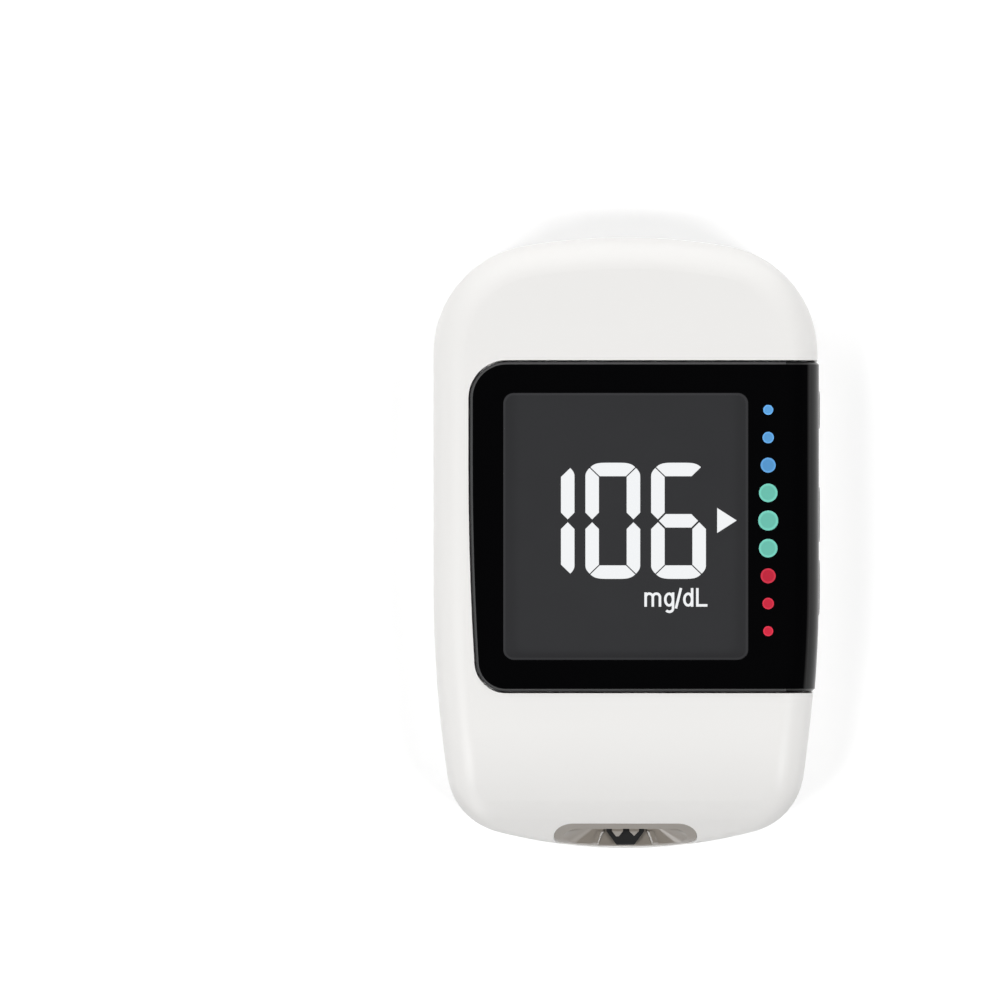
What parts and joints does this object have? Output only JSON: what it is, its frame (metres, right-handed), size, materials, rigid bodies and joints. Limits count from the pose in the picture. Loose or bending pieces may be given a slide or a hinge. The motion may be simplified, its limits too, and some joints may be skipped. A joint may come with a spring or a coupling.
{
  "type": "blood glucose meter",
  "caption": "Pocket blood glucose meter: white case, black wrap-round display cover, test strip port, side keys, strip ejector and hinged coin cell door.",
  "frame": {"origin": "middle of the outline, on the back face that the meter lies on", "axes": "+X towards the side with the keys, +Y towards the USB end (top of the display), -Y the test strip end, +Z out of the display"},
  "size_m": [0.0487, 0.0772, 0.0153],
  "materials": {
    "white_housing": "semi-gloss moulded ABS",
    "black_cover": "piano black, high gloss",
    "window_clear": "clear hard-coated acrylic",
    "tape": "black foam tape",
    "foam": "black foam",
    "lcd_glass": "display glass",
    "film": "polarising film",
    "light_guide": "light guide acrylic",
    "lamp": "lamp package",
    "silicone": "striped silicone",
    "white_frame": "moulded frame",
    "board_green": "solder mask",
    "steel": "zinc-plated steel",
    "chip_black": "moulded epoxy",
    "tin_can": "tinned shield",
    "ceramic_parts": "chip capacitors",
    "switch_black": "moulded switch body",
    "key_black": "satin black key",
    "plunger": "moulded plunger",
    "cell_steel": "nickel-plated cell can",
    "contact": "nickel-plated spring steel",
    "door_white": "semi-gloss moulded ABS",
    "port_taupe": "warm grey moulded plastic",
    "connector_black": "moulded connector",
    "gold": "gold-plated contact",
    "slider_grey": "warm grey thumb slider",
    "carriage": "acetal"
  },
  "bodies": {
    "case": {"front_housing": "white_housing", "rear_housing": "white_housing", "display_cover": "black_cover", "display_window": "window_clear", "cover_adhesive": "tape", "lcd_gasket": "foam", "lcd_glass": "lcd_glass", "lcd_polarisers": "film", "backlight_panel": "light_guide", "backlight_lamps": "lamp", "zebra_connector": "silicone", "lcd_holder": "white_frame", "main_board": "board_green", "board_screws": "steel", "processor_chip": "chip_black", "memory_chip": "chip_black", "radio_module": "tin_can", "board_capacitors": "ceramic_parts", "board_crystal": "tin_can", "sounder": "chip_black", "key_switches": "switch_black", "coin_cell_left": "cell_steel", "coin_cell_right": "cell_steel", "battery_negative_contacts": "contact", "battery_positive_contacts": "contact", "strip_port_insert": "port_taupe", "strip_connector": "connector_black", "strip_contacts": "gold", "eject_springs": "contact", "usb_socket": "steel", "usb_tongue": "chip_black"},
    "power_key": {"power_button": "key_black", "power_plunger": "plunger"},
    "up_key": {"up_button": "key_black", "up_plunger": "plunger"},
    "down_key": {"down_button": "key_black", "down_plunger": "plunger"},
    "ejector": {"eject_slider": "slider_grey", "eject_carriage": "carriage"},
    "door": {"battery_door": "door_white"}
  },
  "joints": [
    {"name": "power_press", "type": "slide", "parent": "case", "child": "power_key", "axis": [-1, 0, 0], "range_m": [0, 0.00035], "stiffness_N_per_m": 2500},
    {"name": "up_press", "type": "slide", "parent": "case", "child": "up_key", "axis": [-1, 0, 0], "range_m": [0, 0.00035], "stiffness_N_per_m": 2500},
    {"name": "down_press", "type": "slide", "parent": "case", "child": "down_key", "axis": [-1, 0, 0], "range_m": [0, 0.00035], "stiffness_N_per_m": 2500},
    {"name": "eject_slide", "type": "slide", "parent": "case", "child": "ejector", "axis": [0, -1, 0], "range_m": [0, 0.004], "stiffness_N_per_m": 400, "deforming": ["eject_springs"]},
    {"name": "door_hinge", "type": "hinge", "parent": "case", "child": "door", "pos_m": [0, -0.002, 0.0019], "axis": [-1, 0, 0], "range_deg": [0, 75]}
  ]
}
